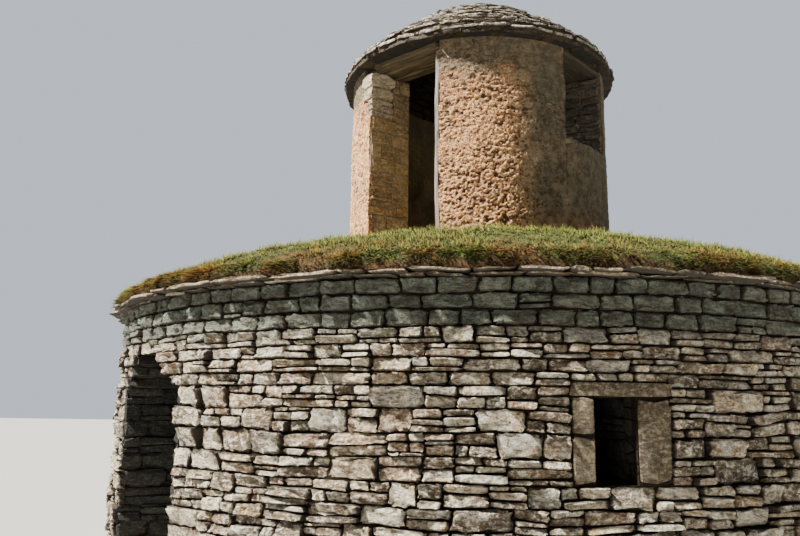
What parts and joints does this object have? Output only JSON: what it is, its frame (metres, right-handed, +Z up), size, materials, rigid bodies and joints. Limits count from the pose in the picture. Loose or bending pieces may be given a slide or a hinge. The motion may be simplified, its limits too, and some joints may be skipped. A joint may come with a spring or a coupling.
{
  "type": "round dry-stone chapel",
  "caption": "Round field-stone chapel: a dry-stone drum with a corbelled room, a turf-covered shoulder and a rendered turret under a stepped stone-slab roof.",
  "frame": {"origin": "on the ground at the centre of the round drum, which is also the turret's axis", "axes": "+Z up; -Y faces the viewer, so the doorways lie to the left of -Y and the turret window to its right"},
  "size_m": [8.94, 8.94, 7.082],
  "materials": {
    "rubble_limestone": "weathered dry-stone rubble",
    "jamb_stone": "rough squared limestone",
    "cornice_slab": "thin split limestone slabs",
    "vault_stone": "dry corbelled rubble",
    "turf": "earth with short dry turf",
    "earth_render": "pitted ochre earth and lime render on rubble",
    "weathered_timber": "silvered oak",
    "wrought_iron": "forged iron, weathered pale",
    "flagstone": "worn flags",
    "roof_slab": "split limestone slabs with lichen"
  },
  "bodies": {
    "root": {"cornice_back_left": "cornice_slab", "cornice_back_right": "cornice_slab", "cornice_front_left": "cornice_slab", "cornice_front_right": "cornice_slab", "drum_door_corbels": "rubble_limestone", "drum_wall_back_left": "rubble_limestone", "drum_wall_back_right": "rubble_limestone", "drum_wall_beside_door": "rubble_limestone", "drum_wall_beside_window": "rubble_limestone", "drum_wall_front_left": "rubble_limestone", "drum_wall_front_right": "rubble_limestone", "drum_wall_left": "rubble_limestone", "drum_wall_over_door": "rubble_limestone", "drum_wall_over_window": "rubble_limestone", "drum_wall_right": "rubble_limestone", "drum_wall_under_window": "rubble_limestone", "drum_window_jambs": "jamb_stone", "drum_window_lintel": "jamb_stone", "roof_cap": "roof_slab", "roof_gore_1": "roof_slab", "roof_gore_2": "roof_slab", "roof_gore_3": "roof_slab", "roof_gore_4": "roof_slab", "roof_gore_5": "roof_slab", "roof_gore_6": "roof_slab", "roof_slipped_slabs": "roof_slab", "turf_back_left": "turf", "turf_back_right": "turf", "turf_front_left": "turf", "turf_front_right": "turf", "turret_door_hook": "wrought_iron", "turret_door_lintel": "weathered_timber", "turret_door_post": "weathered_timber", "turret_door_quoins": "jamb_stone", "turret_door_threshold": "flagstone", "turret_floor": "flagstone", "turret_wall_back": "earth_render", "turret_wall_back_left": "earth_render", "turret_wall_back_right": "earth_render", "turret_wall_front": "earth_render", "turret_wall_left": "earth_render", "turret_wall_right": "earth_render", "turret_wall_under_window": "earth_render", "turret_window_lintel": "weathered_timber", "vault_back_left": "vault_stone", "vault_back_right": "vault_stone", "vault_front_left": "vault_stone", "vault_front_right": "vault_stone"}
  },
  "joints": []
}
